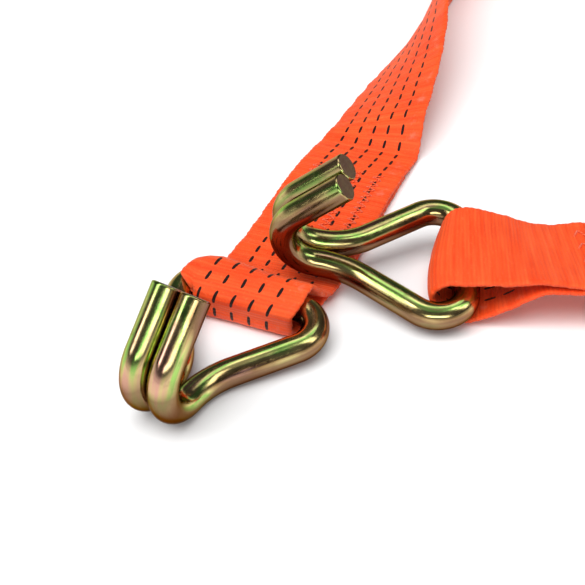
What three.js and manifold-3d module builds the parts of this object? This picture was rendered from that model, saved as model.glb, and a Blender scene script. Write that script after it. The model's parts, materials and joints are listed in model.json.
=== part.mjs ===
// A two-part ratchet lashing for 50 mm webbing, laid out unthreaded as it is stored.
// Fixed part: wire claw hook, short doubled strap, ratchet buckle with its handle closed.
// Long part: wire claw hook, sewn eye, a run of webbing, and the rest wound in a flat roll.
// Millimetres, +Z up. The origin is the middle of the footprint, on the surface it lies on.
import * as THREE from 'three';
import { mergeVertices } from 'three/addons/utils/BufferGeometryUtils.js';
import Module from 'manifold-3d';

// ---- Driving dimensions -------------------------------------------------------------

const CLEARANCE = 0.4;            // running gap between neighbouring pieces
const WEBBING = { width: 50, thickness: 2.3 };

// Claw hook: one bent wire, mirrored about its own Y axis. The bar lies along X, the two
// jaws stand side by side at the far end and curl up towards +Z.
const HOOK = {
  wire: 11, halfWidth: 40, cornerBend: 12,
  neckAt: 48.5, neckBend: 32, shank: 11.5, shankRise: 8.5,
  jawBend: 15, jawTurn: 132, tip: 24,
};

// Where each hook's bar lies in the layout: middle of the bar, then turns in degrees.
const FRONT_HOOK = { at: [-12, -14, 11], yaw: 150, pitch: -6.4, roll: -2.5 };
const REAR_HOOK = { at: [69.5, 1.4, 13.8], yaw: 84.6, pitch: 0, roll: -10 };

// Long strap: a sewn eye round the front hook's bar, a run that lies flat and then turns
// on edge, and the roll that the rest is wound into. Fractions are of the run's length.
const LONG_EYE = { inner: 7.3, tail: 27, rise: -7.6, width: 42 };
const LONG_RUN = {
  heading: 21.5, flatHeight: 2.7, doubledTo: 0.22, flatTo: 0.2, edgeFrom: 0.85, steps: 36,
};
const ROLL = { at: [196, 384], radius: 60, core: 12, height: 50 };
const TIE = { thickness: 1.4, width: 14, towards: -60 };

// Short strap: an eye round the rear hook's bar, a doubled run, an eye round the end bolt.
const SHORT_EYE = { inner: 7.3, tail: 36, rise: 6, width: 42 };
const BOLT_EYE = { tail: 34, rise: 3 };
const STITCH = { radius: 0.5, reach: 18, lift: 0.9, overlap: 0.01 };

// Ratchet buckle, about its spool axis. The frame reaches back along -X to the end bolt.
// Directions are degrees about the spool, from +X towards +Z.
const RATCHET = { at: [375, -4, 25.5] };
const FRAME = { inside: 54, plate: 3, boltAt: [-105, -11], boltEnd: 14.5, foot: 12, camRadius: 25.5 };
const CAM = {
  openNotch: -5, openEnd: 28, closedStart: 140, closedNotch: 160, closedEnd: 176,
  notchHalf: 6, notchDepth: 4.5,
};
const WEB = { from: -82, to: -57 };
const WHEEL = { teeth: 12, tip: 22.5, root: 17.5, thickness: 4, rootArc: 11, slopeArc: 25 };
const SPOOL = { radius: 11, slot: 5, halfLength: 44, pinHole: 1.9 };
const WASHER = { radius: 17, thickness: 1.5 };
const COTTER = { wire: 1.5, at: 41.6, reach: 13.5 };
const LOCK_PAWL = { direction: 195, near: 18.3, far: 40.3, low: 0.4, high: 4.4, travel: 6 };
const LOCK_SPRING = { radius: 2.6, wire: 0.45, turns: 5, y: 14, seatAt: 55.2, seatThickness: 2.5 };
const DRIVE_PAWL = { direction: 160, near: 25.9, far: 49, low: -2, high: 2, travel: 6 };
const DRIVE_SPRING = { radius: 2.6, wire: 0.45, turns: 5, y: 22, seatAt: 66, seatRadius: 3 };
const HANDLE = { plate: 3, hub: 24, gripAt: [-168, 30], gripEnd: 12 };
const GRIP = { radius: 13, rod: 5, head: 8, groove: 1.4, grooves: 4 };
const BOLT = { radius: 5, sleeve: 8, across: 17, head: 6, nut: 8, beyond: 10 };

// ---- Materials ----------------------------------------------------------------------

function finish(color, roughness, metalness) {
  return new THREE.MeshStandardMaterial({ color, roughness, metalness });
}
const yellowZinc = finish(0xb9a24c, 0.28, 1);
const brightZinc = finish(0xc4c6c8, 0.3, 1);
const springSteel = finish(0x8d9094, 0.35, 1);
const orangeWebbing = finish(0xf5502a, 0.85, 0);
const orangeThread = finish(0xe8562e, 0.9, 0);
const blackRubber = finish(0x1c1c1d, 0.8, 0);
const blackGrip = finish(0x202124, 0.6, 0);

// ---- Small tools --------------------------------------------------------------------

const wasm = await Module();
wasm.setup();

function toSolid(geometry) {
  const bare = geometry.clone();
  bare.deleteAttribute('normal');
  bare.deleteAttribute('uv');
  const merged = mergeVertices(bare, 1e-4);
  return new wasm.Manifold(new wasm.Mesh({
    numProp: 3,
    vertProperties: new Float32Array(merged.attributes.position.array),
    triVerts: new Uint32Array(merged.index.array),
  }));
}

function toGeometry(solid) {
  const { vertProperties, triVerts } = solid.getMesh();
  const geometry = new THREE.BufferGeometry();
  geometry.setAttribute('position', new THREE.BufferAttribute(new Float32Array(vertProperties), 3));
  geometry.setIndex(new THREE.BufferAttribute(new Uint32Array(triVerts), 1));
  geometry.computeVertexNormals();
  return geometry;
}

function join(...geometries) {
  return toGeometry(geometries.map(toSolid).reduce((whole, next) => whole.add(next)));
}

function cut(geometry, ...cutters) {
  return toGeometry(cutters.map(toSolid).reduce((rest, next) => rest.subtract(next), toSolid(geometry)));
}

function radians(degrees) {
  return THREE.MathUtils.degToRad(degrees);
}

function polar(radius, degrees) {
  return new THREE.Vector2(radius * Math.cos(radians(degrees)), radius * Math.sin(radians(degrees)));
}

// A plate cut to an X-Z outline, from y = from to y = to.
function plate(outline, from, to, curveSegments = 8) {
  const options = { depth: to - from, bevelEnabled: false, curveSegments };
  const geometry = new THREE.ExtrudeGeometry(outline, options);
  geometry.rotateX(Math.PI / 2);
  geometry.translate(0, to, 0);
  return geometry;
}

function circleHole(x, z, radius) {
  return new THREE.Path().absarc(x, z, radius, 0, 2 * Math.PI, true);
}

// A rectangle in the X-Z plane that runs out from the origin along a direction, between
// two distances, and to one side of that line between two offsets.
function radialRectangle(direction, near, far, low, high) {
  const along = polar(1, direction);
  const side = new THREE.Vector2(-along.y, along.x);
  const corner = (s, t) => along.clone().multiplyScalar(s).addScaledVector(side, t);
  return [corner(near, low), corner(far, low), corner(far, high), corner(near, high)];
}

// The same rectangle as a block, as far out along Y on both sides of the middle plane.
function radialBlock(direction, [near, far], [low, high], half) {
  return plate(new THREE.Shape(radialRectangle(direction, near, far, low, high)), -half, half);
}

function ring(outer, inner, from, to, segments = 24) {
  const outline = new THREE.Shape().absarc(0, 0, outer, 0, 2 * Math.PI, false);
  outline.holes.push(circleHole(0, 0, inner));
  return plate(outline, from, to, segments / 2);
}

// A profile of [radius, height] points turned about Y.
function turned(profile, segments) {
  return new THREE.LatheGeometry(profile.map((p) => new THREE.Vector2(...p)), segments);
}

function hexagon(across) {
  const corners = [0, 1, 2, 3, 4, 5].map((i) => polar(across / Math.sqrt(3), 60 * i));
  return new THREE.Shape(corners);
}

function mesh(name, geometry, material) {
  const piece = new THREE.Mesh(geometry, material);
  piece.name = name;
  return piece;
}

// ---- Bent wire ----------------------------------------------------------------------

class Bend extends THREE.Curve {
  constructor(centre, from, to) {
    super();
    this.centre = centre;
    this.from = from;
    this.to = to;
    this.turn = from.angleTo(to);
  }

  getPoint(t, target = new THREE.Vector3()) {
    const scale = 1 / Math.sin(this.turn);
    return target.copy(this.centre)
      .addScaledVector(this.from, Math.sin((1 - t) * this.turn) * scale)
      .addScaledVector(this.to, Math.sin(t * this.turn) * scale);
  }
}

// Straight lines through the corners, with a circular bend of the given radius at each.
function bentPath(corners, radii) {
  const path = new THREE.CurvePath();
  let last = corners[0];
  for (let i = 1; i < corners.length - 1; i += 1) {
    const back = corners[i - 1].clone().sub(corners[i]).normalize();
    const on = corners[i + 1].clone().sub(corners[i]).normalize();
    const half = back.angleTo(on) / 2;
    const reach = radii[i - 1] / Math.tan(half);
    const start = corners[i].clone().addScaledVector(back, reach);
    const end = corners[i].clone().addScaledVector(on, reach);
    const middle = back.clone().add(on).normalize();
    const centre = corners[i].clone().addScaledVector(middle, radii[i - 1] / Math.sin(half));
    path.add(new THREE.LineCurve3(last, start));
    path.add(new Bend(centre, start.clone().sub(centre), end.clone().sub(centre)));
    last = end;
  }
  path.add(new THREE.LineCurve3(last, corners[corners.length - 1]));
  return path;
}

function rod(path, radius, sides, steps) {
  const corners = [];
  for (let i = 0; i < sides; i += 1) corners.push(polar(radius, (360 * i) / sides));
  const section = new THREE.Shape(corners);
  return new THREE.ExtrudeGeometry(section, { steps, extrudePath: path, bevelEnabled: false });
}

// ---- Claw hooks ---------------------------------------------------------------------

function hookPath() {
  const { wire, halfWidth, neckAt, shank, shankRise, jawBend, jawTurn, tip } = HOOK;
  const rise = radians(shankRise);
  const out = new THREE.Vector3(0, Math.cos(rise), Math.sin(rise));
  const up = new THREE.Vector3(0, -Math.sin(rise), Math.cos(rise));
  const turn = radians(jawTurn);
  const tipDirection = out.clone().multiplyScalar(Math.cos(turn)).addScaledVector(up, Math.sin(turn));
  const reach = jawBend * Math.tan(turn / 2);
  const corner = new THREE.Vector3(halfWidth, 0, 0);
  const neck = new THREE.Vector3(wire / 2 + CLEARANCE / 2, neckAt, 0);
  const jaw = neck.clone().addScaledVector(out, shank + reach);
  const end = jaw.clone().addScaledVector(tipDirection, reach + tip);
  const side = [end, jaw, neck, corner];
  const mirrored = side.map((p) => p.clone().multiply(new THREE.Vector3(-1, 1, 1))).reverse();
  const bends = [HOOK.jawBend, HOOK.neckBend, HOOK.cornerBend];
  return bentPath([...side, ...mirrored], [...bends, ...bends.slice().reverse()]);
}

function clawHook(name, place) {
  const hook = mesh(name, rod(hookPath(), HOOK.wire / 2, 12, 78), yellowZinc);
  hook.rotation.set(radians(place.pitch), radians(place.roll), radians(place.yaw), 'ZXY');
  hook.position.set(...place.at);
  return hook;
}

// ---- Webbing ------------------------------------------------------------------------

// A flat band through a list of { at, across, thickness } stations.
function bandGeometry(stations, width) {
  const positions = [];
  stations.forEach(({ at, across, thickness }, i) => {
    const before = stations[Math.max(i - 1, 0)].at;
    const after = stations[Math.min(i + 1, stations.length - 1)].at;
    const along = after.clone().sub(before).normalize();
    const up = across.clone().cross(along).normalize();
    for (const [w, t] of [[-1, -1], [1, -1], [1, 1], [-1, 1]]) {
      const corner = at.clone().addScaledVector(across, (w * width) / 2);
      corner.addScaledVector(up, (t * thickness) / 2);
      positions.push(corner.x, corner.y, corner.z);
    }
  });
  const index = [0, 2, 1, 0, 3, 2];
  const quad = (a, b, c, d) => index.push(a, b, c, a, c, d);
  for (let i = 0; i + 1 < stations.length; i += 1) {
    for (let k = 0; k < 4; k += 1) {
      const next = (k + 1) % 4;
      quad(4 * i + k, 4 * i + next, 4 * i + 4 + next, 4 * i + 4 + k);
    }
  }
  const end = 4 * (stations.length - 1);
  quad(end, end + 1, end + 2, end + 3);
  const geometry = new THREE.BufferGeometry();
  geometry.setAttribute('position', new THREE.Float32BufferAttribute(positions, 3));
  geometry.setIndex(index);
  const solid = toSolid(geometry);
  if (solid.volume() < 0) index.reverse();
  geometry.setIndex(index);
  geometry.computeVertexNormals();
  return geometry;
}

// Sewn eye: a teardrop loop about the X axis, its tail out along -Y and lifted by rise.
function eyeLoop(inner, tail, rise, width) {
  const teardrop = (Outline, radius, tip, halfTip) => {
    const tipHeight = (rise * tip) / tail;
    const lean = THREE.MathUtils.radToDeg(Math.atan2(tipHeight, tip));
    const spread = THREE.MathUtils.radToDeg(Math.acos((radius - halfTip) / Math.hypot(tip, tipHeight)));
    const outline = new Outline();
    outline.moveTo(tip, tipHeight - halfTip);
    outline.lineTo(tip, tipHeight + halfTip);
    outline.absarc(0, 0, radius, radians(lean + spread), radians(lean - spread + 360), false);
    return outline;
  };
  const outline = teardrop(THREE.Shape, inner + WEBBING.thickness, tail, WEBBING.thickness + 0.1);
  outline.holes.push(teardrop(THREE.Path, inner, tail * 0.7, 0.6));
  return plate(outline, -width / 2, width / 2, 10).rotateZ(-Math.PI / 2);
}

function hookEye(name, eye, place) {
  const loop = mesh(name, eyeLoop(eye.inner, eye.tail, eye.rise, eye.width), orangeWebbing);
  loop.position.set(...place.at);
  loop.rotation.set(0, radians(place.roll), radians(place.yaw), 'ZXY');
  return loop;
}

// Where a hook eye's tail ends, and the way across the webbing there.
function eyeTail(eye, place) {
  const turn = new THREE.Euler(0, radians(place.roll), radians(place.yaw), 'ZXY');
  const at = new THREE.Vector3(0, -(eye.tail + CLEARANCE), eye.rise).applyEuler(turn);
  const across = new THREE.Vector3(-1, 0, 0).applyEuler(turn);
  return { at: at.add(new THREE.Vector3(...place.at)), across };
}

// The run lies flat from the eye, then turns on edge and meets the roll as a tangent.
function longRunStations() {
  const tail = eyeTail(LONG_EYE, FRONT_HOOK);
  const heading = radians(LONG_RUN.heading);
  const right = new THREE.Vector3(Math.cos(heading), -Math.sin(heading), 0);
  const standing = WEBBING.width / 2 + CLEARANCE;
  const touch = new THREE.Vector3(...ROLL.at, standing)
    .addScaledVector(right, -(ROLL.radius + WEBBING.thickness / 2 + CLEARANCE));
  const stations = [];
  for (let i = 0; i <= LONG_RUN.steps; i += 1) {
    const t = i / LONG_RUN.steps;
    const onEdge = THREE.MathUtils.smoothstep(t, LONG_RUN.flatTo, LONG_RUN.edgeFrom);
    const turn = (Math.PI / 2) * onEdge;
    const at = tail.at.clone().lerp(touch, t);
    const sunk = THREE.MathUtils.smoothstep(t, 0, 0.1);
    const settled = THREE.MathUtils.lerp(tail.at.z, LONG_RUN.flatHeight, sunk);
    at.z = settled + (standing - settled) * Math.sin(turn);
    const level = tail.across.clone().lerp(right, Math.min(1, 12 * t)).normalize();
    const across = level.multiplyScalar(Math.cos(turn)).add(new THREE.Vector3(0, 0, Math.sin(turn)));
    const layers = t < LONG_RUN.doubledTo ? 2 : 1;
    stations.push({ at, across: across.normalize(), thickness: layers * WEBBING.thickness });
  }
  return stations;
}

// The roll is a thick ring with a shallow groove across its underside for the tie.
function roll() {
  const { radius, core, height, at } = ROLL;
  const profile = [[core, 0], [radius, 0], [radius, height], [core, height], [core, 0]];
  const body = turned(profile, 48).rotateX(Math.PI / 2);
  const depth = TIE.thickness + CLEARANCE;
  const groove = new THREE.BoxGeometry(radius + 2, TIE.width + 2 * CLEARANCE, 2 * depth);
  groove.translate(radius / 2 + 1, 0, 0).rotateZ(radians(TIE.towards));
  return mesh('long_strap_roll', cut(body, groove).translate(...at, 0), orangeWebbing);
}

// The tie passes through the core and round one side of the roll.
function rollTie() {
  const { radius, core, height, at } = ROLL;
  const { thickness, width, towards } = TIE;
  const rectangle = (Outline, from, to, low, high) => {
    const corners = [[from, low], [to, low], [to, high], [from, high]];
    return new Outline(corners.map((p) => new THREE.Vector2(...p)));
  };
  const inside = core - CLEARANCE - thickness - 3;
  const outside = radius + CLEARANCE;
  const outline = rectangle(THREE.Shape, inside, outside + thickness, 0, height + CLEARANCE + thickness);
  outline.holes.push(rectangle(THREE.Path, inside + thickness, outside, thickness, height + CLEARANCE));
  const loop = plate(outline, -width / 2, width / 2).rotateZ(radians(towards)).translate(...at, 0);
  return mesh('roll_tie', loop, blackRubber);
}

function longStrap() {
  const stations = longRunStations();
  return [
    hookEye('long_strap_eye', LONG_EYE, FRONT_HOOK),
    mesh('long_strap_run', bandGeometry(stations, WEBBING.width), orangeWebbing),
    stitching('long_strap_stitching', stations.slice(1, 8)),
    roll(),
    rollTie(),
  ];
}

function ratchetPoint(x, z) {
  const [x0, y0, z0] = RATCHET.at;
  return new THREE.Vector3(x0 + x, y0, z0 + z);
}

function shortStrap() {
  const tail = eyeTail(SHORT_EYE, REAR_HOOK);
  const bolt = ratchetPoint(...FRAME.boltAt);
  const boltInner = BOLT.sleeve + CLEARANCE;
  const boltLoop = eyeLoop(boltInner, BOLT_EYE.tail, BOLT_EYE.rise, WEBBING.width).rotateZ(-Math.PI / 2);
  boltLoop.translate(bolt.x, bolt.y, bolt.z);
  const end = bolt.clone().add(new THREE.Vector3(-(BOLT_EYE.tail + CLEARANCE), 0, BOLT_EYE.rise));
  const level = new THREE.Vector3(0, -1, 0);
  const stations = [];
  for (let i = 0; i <= 20; i += 1) {
    const t = i / 20;
    const at = tail.at.clone().lerp(end, t);
    const across = tail.across.clone().lerp(level, THREE.MathUtils.smoothstep(t, 0, 0.7)).normalize();
    stations.push({ at, across, thickness: 2 * WEBBING.thickness });
  }
  return [
    hookEye('short_strap_hook_eye', SHORT_EYE, REAR_HOOK),
    mesh('short_strap_run', bandGeometry(stations, WEBBING.width), orangeWebbing),
    stitching('short_strap_stitching', stations.slice(4, 17)),
    mesh('short_strap_bolt_eye', boltLoop, orangeWebbing),
  ];
}

// Lock stitching on a doubled run: one zig-zag of thread, legs joined, on the upper face.
function stitching(name, stations) {
  const points = stations.map(({ at, across, thickness }, i) => {
    const side = i % 2 ? STITCH.reach : -STITCH.reach;
    const point = at.clone().addScaledVector(across, side);
    point.z += thickness / 2 + STITCH.lift;
    return point;
  });
  const legs = [];
  for (let i = 0; i + 1 < points.length; i += 1) {
    const from = points[i].clone().lerp(points[i + 1], -STITCH.overlap);
    const to = points[i + 1].clone().lerp(points[i], -STITCH.overlap);
    legs.push(rod(new THREE.LineCurve3(from, to), STITCH.radius, 6, 1));
  }
  return mesh(name, join(...legs), orangeThread);
}

// ---- Ratchet buckle, about its spool axis -------------------------------------------

const CHEEK_OUT = FRAME.inside / 2 + FRAME.plate;
const WHEEL_IN = CHEEK_OUT + CLEARANCE;
const WHEEL_OUT = WHEEL_IN + WHEEL.thickness;
const ARM_IN = WHEEL_OUT + CLEARANCE;
const ARM_OUT = ARM_IN + HANDLE.plate;

// The slot that a pawl slides in: as long as the pawl and its travel, and a little wider.
function pawlSlot({ direction, near, far, low, high, travel }) {
  const corners = radialRectangle(direction, near - 1, far + travel + 1, low - CLEARANCE, high + CLEARANCE);
  return new THREE.Path(corners);
}

function camNotch(outline, direction) {
  for (const turn of [2 - CAM.notchHalf, CAM.notchHalf - 2]) {
    const corner = polar(FRAME.camRadius - CAM.notchDepth, direction + turn);
    outline.lineTo(corner.x, corner.y);
  }
}

// Cheek: a straight foot, a rounded bolt end, and a cam round the spool. The cam is high
// where the handle is closed or fully open, so that it holds the drive pawl off the
// wheels, and low between, where the pawl drives them. Each high part has a pawl notch.
function cheekOutline() {
  const { boltAt, boltEnd, foot, camRadius } = FRAME;
  const arc = (radius, from, to) => outline.absarc(0, 0, radius, radians(from), radians(to), false);
  const outline = new THREE.Shape().moveTo(0, -camRadius);
  arc(camRadius, -90, CAM.openNotch - CAM.notchHalf);
  camNotch(outline, CAM.openNotch);
  arc(camRadius, CAM.openNotch + CAM.notchHalf, CAM.openEnd);
  arc(WHEEL.root - 1, CAM.openEnd + 5, CAM.closedStart - 5);
  arc(camRadius, CAM.closedStart, CAM.closedNotch - CAM.notchHalf);
  camNotch(outline, CAM.closedNotch);
  arc(camRadius, CAM.closedNotch + CAM.notchHalf, CAM.closedEnd);
  outline.absarc(...boltAt, boltEnd, radians(95), radians(180), false);
  outline.absarc(boltAt[0] - boltEnd + foot, foot - camRadius, foot, radians(180), radians(270), false);
  return outline;
}

function ratchetFrame() {
  const outline = cheekOutline();
  outline.holes.push(circleHole(0, 0, SPOOL.radius + CLEARANCE));
  outline.holes.push(circleHole(...FRAME.boltAt, BOLT.radius + CLEARANCE));
  outline.holes.push(pawlSlot(LOCK_PAWL));
  const inner = FRAME.inside / 2;
  const floor = new THREE.BoxGeometry(WEB.to - WEB.from, FRAME.inside + FRAME.plate, FRAME.plate);
  floor.translate((WEB.from + WEB.to) / 2, 0, FRAME.plate / 2 - FRAME.camRadius);
  const cheeks = [plate(outline, -CHEEK_OUT, -inner), plate(outline, inner, CHEEK_OUT)];
  return mesh('ratchet_frame', join(...cheeks, floor), yellowZinc);
}

function endBolt() {
  const [x, z] = FRAME.boltAt;
  const head = plate(hexagon(BOLT.across), -CHEEK_OUT - CLEARANCE - BOLT.head, -CHEEK_OUT - CLEARANCE);
  const shank = plate(new THREE.Shape().absarc(0, 0, BOLT.radius, 0, 2 * Math.PI),
    -CHEEK_OUT - CLEARANCE - 1, CHEEK_OUT + BOLT.beyond);
  const nutOutline = hexagon(BOLT.across);
  nutOutline.holes.push(circleHole(0, 0, BOLT.radius + CLEARANCE));
  const nut = plate(nutOutline, CHEEK_OUT + CLEARANCE, CHEEK_OUT + CLEARANCE + BOLT.nut);
  const side = FRAME.inside / 2 - CLEARANCE;
  const pieces = [
    mesh('end_bolt', join(head, shank), brightZinc),
    mesh('end_bolt_nut', nut, brightZinc),
    mesh('end_bolt_sleeve', ring(BOLT.sleeve, BOLT.radius + CLEARANCE, -side, side), brightZinc),
  ];
  pieces.forEach((piece) => piece.position.set(x, 0, z));
  return pieces;
}

function ratchetWheel(name, side) {
  const corners = [];
  for (let tooth = 0; tooth < WHEEL.teeth; tooth += 1) {
    const face = LOCK_PAWL.direction + (360 / WHEEL.teeth) * tooth;
    corners.push(polar(WHEEL.tip, face), polar(WHEEL.root, face));
    corners.push(polar(WHEEL.root, face + WHEEL.rootArc), polar(WHEEL.tip, face + WHEEL.slopeArc));
  }
  const outline = new THREE.Shape(corners);
  for (const turn of [0, 180]) {
    const reach = SPOOL.radius + CLEARANCE;
    const rise = THREE.MathUtils.radToDeg(Math.asin((SPOOL.slot / 2 - CLEARANCE) / reach));
    const [from, to] = [radians(turn + rise), radians(turn + 180 - rise)];
    outline.holes.push(new THREE.Path().absarc(0, 0, reach, from, to, false));
  }
  const [from, to] = side > 0 ? [WHEEL_IN, WHEEL_OUT] : [-WHEEL_OUT, -WHEEL_IN];
  return mesh(name, plate(outline, from, to), brightZinc);
}

// One half of the split spool, with a hole near each end for the cotter pins.
function halfShaft(name, turn) {
  const { radius, slot, halfLength, pinHole } = SPOOL;
  const rise = THREE.MathUtils.radToDeg(Math.asin(slot / 2 / radius));
  const [from, to] = [radians(turn + rise), radians(turn + 180 - rise)];
  const outline = new THREE.Shape().absarc(0, 0, radius, from, to, false);
  const holes = [-1, 1].map((side) => new THREE.CylinderGeometry(pinHole, pinHole, 4 * radius, 12)
    .rotateX(Math.PI / 2).translate(0, side * COTTER.at, 0));
  return mesh(name, cut(plate(outline, -halfLength, halfLength, 16), ...holes), brightZinc);
}

function cotterPin(name, side) {
  const { wire, at, reach } = COTTER;
  const corner = (x, z) => new THREE.Vector3(x, side * at, z);
  const corners = [
    corner(6, -reach - 4), corner(0, -reach), corner(0, reach + 0.5),
    corner(-4.5, reach + 5), corner(0, reach + 9.5), corner(4.5, reach + 5), corner(3.6, reach + 2),
  ];
  return mesh(name, rod(bentPath(corners, [1.2, 1.6, 1.8, 1.8, 0.8]), wire, 8, 44), springSteel);
}

function spool() {
  const inner = SPOOL.radius + CLEARANCE;
  const washerFrom = ARM_OUT + CLEARANCE;
  const washer = (side) => (side > 0 ? [washerFrom, washerFrom + WASHER.thickness]
    : [-washerFrom - WASHER.thickness, -washerFrom]);
  return [
    halfShaft('half_shaft_upper', 0),
    halfShaft('half_shaft_lower', 180),
    ratchetWheel('ratchet_wheel_left', 1),
    ratchetWheel('ratchet_wheel_right', -1),
    mesh('spool_washer_left', ring(WASHER.radius, inner, ...washer(1)), brightZinc),
    mesh('spool_washer_right', ring(WASHER.radius, inner, ...washer(-1)), brightZinc),
    cotterPin('cotter_pin_left', 1),
    cotterPin('cotter_pin_right', -1),
  ];
}

class Helix extends THREE.Curve {
  constructor(radius, length, turns) {
    super();
    Object.assign(this, { radius, length, turns });
  }

  getPoint(t, target = new THREE.Vector3()) {
    const angle = 2 * Math.PI * this.turns * t;
    return target.set(this.length * t, this.radius * Math.cos(angle), this.radius * Math.sin(angle));
  }
}

// A return spring behind a pawl, from the pawl's back edge to its seat.
function pawlSpring(name, pawl, spring, seatFace, side) {
  const gap = spring.wire + CLEARANCE;
  const helix = new Helix(spring.radius, seatFace - pawl.far - 2 * gap, spring.turns);
  const coil = rod(helix, spring.wire, 5, 10 * spring.turns);
  const middle = (pawl.low + pawl.high) / 2;
  coil.translate(pawl.far + gap, 0, middle).rotateY(-radians(pawl.direction));
  coil.translate(0, side * spring.y, 0);
  return mesh(name, coil, springSteel);
}

function lockPawl() {
  const { direction, near, far, low, high } = LOCK_PAWL;
  const block = (ends, sides, half) => radialBlock(direction, ends, sides, half);
  const blade = block([near, far], [low, high], WHEEL_OUT);
  const lip = block([far - 2.5, far], [low + 1, high + 4], 20);
  const { seatAt, seatThickness } = LOCK_SPRING;
  const inner = FRAME.inside / 2 - CLEARANCE;
  return [
    mesh('lock_pawl', join(blade, lip), yellowZinc),
    mesh('lock_spring_plate', block([seatAt, seatAt + seatThickness], [-6, 7], inner), yellowZinc),
    pawlSpring('lock_pawl_spring_left', LOCK_PAWL, LOCK_SPRING, seatAt, 1),
    pawlSpring('lock_pawl_spring_right', LOCK_PAWL, LOCK_SPRING, seatAt, -1),
  ];
}

function drivePawl() {
  const { direction, near, far, low, high } = DRIVE_PAWL;
  const blade = radialBlock(direction, [near, far], [low, high], ARM_OUT + 2);
  const tab = radialBlock(direction, [far - 2, far + 7], [low, high], 14);
  const lip = radialBlock(direction, [far + 4.5, far + 7], [low - 12, high], 14);
  const { seatAt, seatRadius } = DRIVE_SPRING;
  const seatMiddle = polar(seatAt, direction);
  const seat = plate(new THREE.Shape().absarc(seatMiddle.x, seatMiddle.y, seatRadius, 0, 2 * Math.PI),
    CLEARANCE - ARM_IN, ARM_IN - CLEARANCE);
  return [
    mesh('drive_pawl', join(blade, tab, lip), yellowZinc),
    mesh('drive_spring_bar', seat, brightZinc),
    pawlSpring('drive_pawl_spring_left', DRIVE_PAWL, DRIVE_SPRING, seatAt - seatRadius, 1),
    pawlSpring('drive_pawl_spring_right', DRIVE_PAWL, DRIVE_SPRING, seatAt - seatRadius, -1),
  ];
}

function armOutline() {
  const { hub, gripAt, gripEnd } = HANDLE;
  const outline = new THREE.Shape().absarc(0, 0, hub, radians(205), radians(475), false);
  outline.lineTo(-62, 38);
  outline.lineTo(-100, 41.5);
  outline.absarc(...gripAt, gripEnd, radians(90), radians(270), false);
  outline.lineTo(-100, 17);
  outline.lineTo(-58, 6);
  outline.holes.push(circleHole(0, 0, SPOOL.radius + CLEARANCE));
  outline.holes.push(circleHole(...gripAt, GRIP.rod + CLEARANCE));
  outline.holes.push(pawlSlot(DRIVE_PAWL));
  return outline;
}

function handle() {
  const outline = armOutline();
  const top = [[-74, 36], [-100, 38.5], [-128, 39], [-128, 36], [-100, 35.5], [-74, 33]];
  const web = plate(new THREE.Shape(top.map((p) => new THREE.Vector2(...p))), -ARM_IN - 1, ARM_IN + 1);
  const arms = [plate(outline, -ARM_OUT, -ARM_IN), plate(outline, ARM_IN, ARM_OUT)];
  const pieces = [gripRod(), gripSleeve()];
  pieces.forEach((piece) => piece.position.set(HANDLE.gripAt[0], 0, HANDLE.gripAt[1]));
  return [mesh('handle_body', join(...arms, web), yellowZinc), ...pieces];
}

function gripRod() {
  const { rod: radius, head } = GRIP;
  const inner = ARM_OUT + CLEARANCE;
  const profile = [[0, -inner - 2], [head, -inner - 2], [head, -inner], [radius, -inner],
    [radius, inner], [head, inner], [head, inner + 2], [0, inner + 2]];
  return mesh('grip_rod', turned(profile, 20), brightZinc);
}

// The moulded sleeve on the rod, with shallow finger grooves.
function gripSleeve() {
  const half = ARM_IN - CLEARANCE;
  const bore = GRIP.rod + CLEARANCE;
  const profile = [new THREE.Vector2(bore, -half)];
  const steps = 24;
  for (let i = 0; i <= steps; i += 1) {
    const wave = (1 - Math.cos((2 * Math.PI * GRIP.grooves * i) / steps)) / 2;
    profile.push(new THREE.Vector2(GRIP.radius - GRIP.groove * wave, half * ((2 * i) / steps - 1)));
  }
  profile.push(new THREE.Vector2(bore, half), new THREE.Vector2(bore, -half));
  return mesh('grip_sleeve', new THREE.LatheGeometry(profile, 20), blackGrip);
}

// ---- Assembly -----------------------------------------------------------------------

const ratchet = new THREE.Group();
ratchet.add(ratchetFrame(), ...endBolt(), ...spool(), ...lockPawl(), ...handle(), ...drivePawl());
ratchet.position.set(...RATCHET.at);

const lashing = new THREE.Group();
lashing.add(clawHook('front_hook', FRONT_HOOK), clawHook('rear_hook', REAR_HOOK));
lashing.add(...longStrap(), ...shortStrap(), ratchet);

lashing.updateMatrixWorld(true);
const extent = new THREE.Box3().setFromObject(lashing, true);
const middle = extent.getCenter(new THREE.Vector3());
lashing.position.set(-middle.x, -middle.y, -extent.min.z);

export default lashing;
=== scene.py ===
# The looks of a two-part 50 mm ratchet lashing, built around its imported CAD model.
# Lengths in the tables below are millimetres; MM turns them into Blender's metres.
import json
import math

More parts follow.
